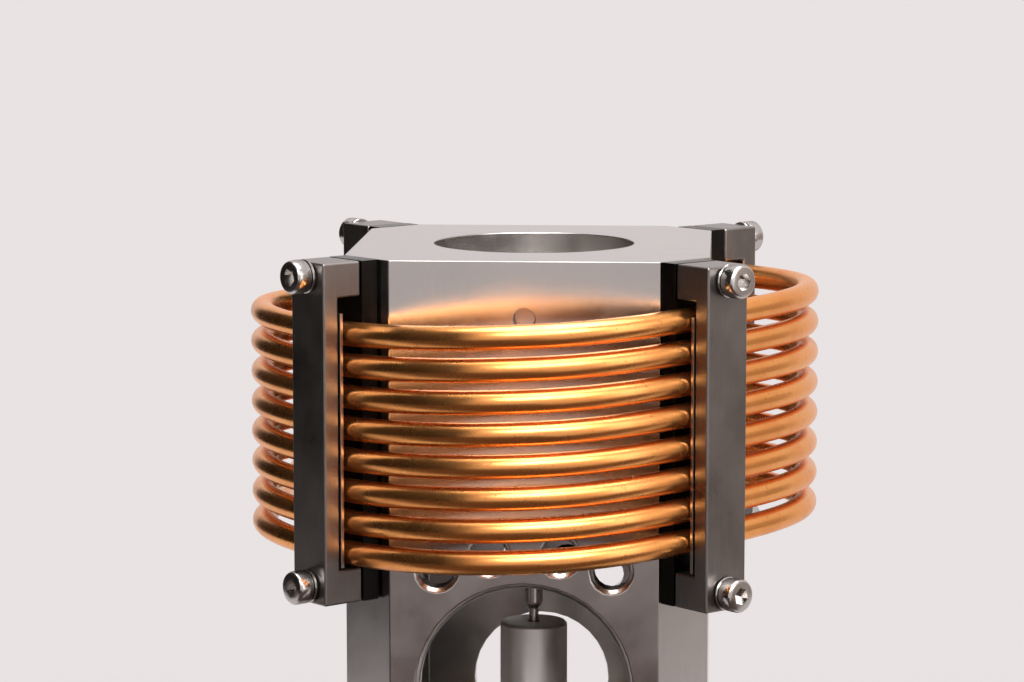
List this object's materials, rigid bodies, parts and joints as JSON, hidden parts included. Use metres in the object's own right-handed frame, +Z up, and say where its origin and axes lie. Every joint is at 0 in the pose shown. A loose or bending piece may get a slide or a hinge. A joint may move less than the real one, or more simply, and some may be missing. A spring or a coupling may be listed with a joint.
{
  "type": "stirling engine model",
  "caption": "Desktop Stirling engine: square steel column, clamped copper cooling coil, crosshead seen through a round window, flywheel and flat power cylinder low down.",
  "frame": {"origin": "middle of the footprint, on the surface the feet stand on", "axes": "+Z up along the column, -Y to the front window, +X to the flywheel"},
  "size_m": [0.12, 0.12, 0.1821],
  "materials": {
    "anodised": "black anodised, satin",
    "rubber": "matte",
    "polished_steel": "ground and polished",
    "blackened_steel": "blackened, satin",
    "ground_steel": "ground, satin",
    "strip_steel": "rolled strip",
    "bright_steel": "bright turned steel",
    "copper": "bright drawn copper tube",
    "bronze": "turned bronze",
    "cast_iron": "turned cast iron",
    "alloy": "machined alloy"
  },
  "bodies": {
    "frame": {"base_plate": "anodised", "bearing_left": "bronze", "bearing_right": "bronze", "clamp_bar_back_left": "ground_steel", "clamp_bar_back_right": "ground_steel", "clamp_bar_front_left": "ground_steel", "clamp_bar_front_right": "ground_steel", "clamp_screw_back_left_lower": "bright_steel", "clamp_screw_back_left_upper": "bright_steel", "clamp_screw_back_right_lower": "bright_steel", "clamp_screw_back_right_upper": "bright_steel", "clamp_screw_front_left_lower": "bright_steel", "clamp_screw_front_left_upper": "bright_steel", "clamp_screw_front_right_lower": "bright_steel", "clamp_screw_front_right_upper": "bright_steel", "clamp_washer_back_left_lower": "bright_steel", "clamp_washer_back_left_upper": "bright_steel", "clamp_washer_back_right_lower": "bright_steel", "clamp_washer_back_right_upper": "bright_steel", "clamp_washer_front_left_lower": "bright_steel", "clamp_washer_front_left_upper": "bright_steel", "clamp_washer_front_right_lower": "bright_steel", "clamp_washer_front_right_upper": "bright_steel", "column": "polished_steel", "comb_bar_back_left": "blackened_steel", "comb_bar_back_right": "blackened_steel", "comb_bar_front_left": "blackened_steel", "comb_bar_front_right": "blackened_steel", "cooling_coil": "copper", "cylinder_liner": "polished_steel", "foot_back_left": "rubber", "foot_back_right": "rubber", "foot_front_left": "rubber", "foot_front_right": "rubber", "gland_plate": "alloy", "guide_bush": "bronze", "guide_plate": "alloy", "hot_cap": "polished_steel", "liner_strip_back_left": "strip_steel", "liner_strip_back_right": "strip_steel", "liner_strip_front_left": "strip_steel", "liner_strip_front_right": "strip_steel", "pipe_union_lower": "bronze", "pipe_union_upper": "bronze", "power_cylinder": "cast_iron", "power_cylinder_head": "alloy", "rod_gland": "bronze", "transfer_pipe": "copper"},
    "crank": {"crankshaft": "bright_steel", "flywheel": "cast_iron", "flywheel_nut": "bright_steel", "shaft_collar": "bright_steel"},
    "displacer_unit": {"displacer": "alloy", "displacer_rod": "bright_steel", "crosshead": "bright_steel"},
    "displacer_link": {"displacer_connecting_rod": "alloy", "displacer_wrist_pin": "bright_steel"},
    "power_link": {"power_connecting_rod": "alloy", "power_wrist_pin": "bright_steel"},
    "power_piston_unit": {"power_piston": "bronze"}
  },
  "joints": [
    {"name": "crank_spin", "type": "hinge", "parent": "frame", "child": "crank", "pos_m": [0, 0, 0.0556], "axis": [1, 0, 0], "continuous": true},
    {"name": "displacer_slide", "type": "slide", "parent": "frame", "child": "displacer_unit", "axis": [0, 0, 1], "range_m": [-0.004, 0.004]},
    {"name": "displacer_link_pivot", "type": "hinge", "parent": "crank", "child": "displacer_link", "pos_m": [0, -0.004, 0.0556], "axis": [1, 0, 0], "continuous": true},
    {"name": "power_link_pivot", "type": "hinge", "parent": "crank", "child": "power_link", "pos_m": [0, -0.004, 0.0556], "axis": [1, 0, 0], "continuous": true},
    {"name": "power_piston_slide", "type": "slide", "parent": "frame", "child": "power_piston_unit", "axis": [0, 1, 0], "range_m": [0, 0.008]}
  ],
  "couplings": [
    {"joint": "displacer_link_pivot", "follows": "crank_spin", "ratio": -1},
    {"joint": "power_link_pivot", "follows": "crank_spin", "ratio": -1}
  ]
}
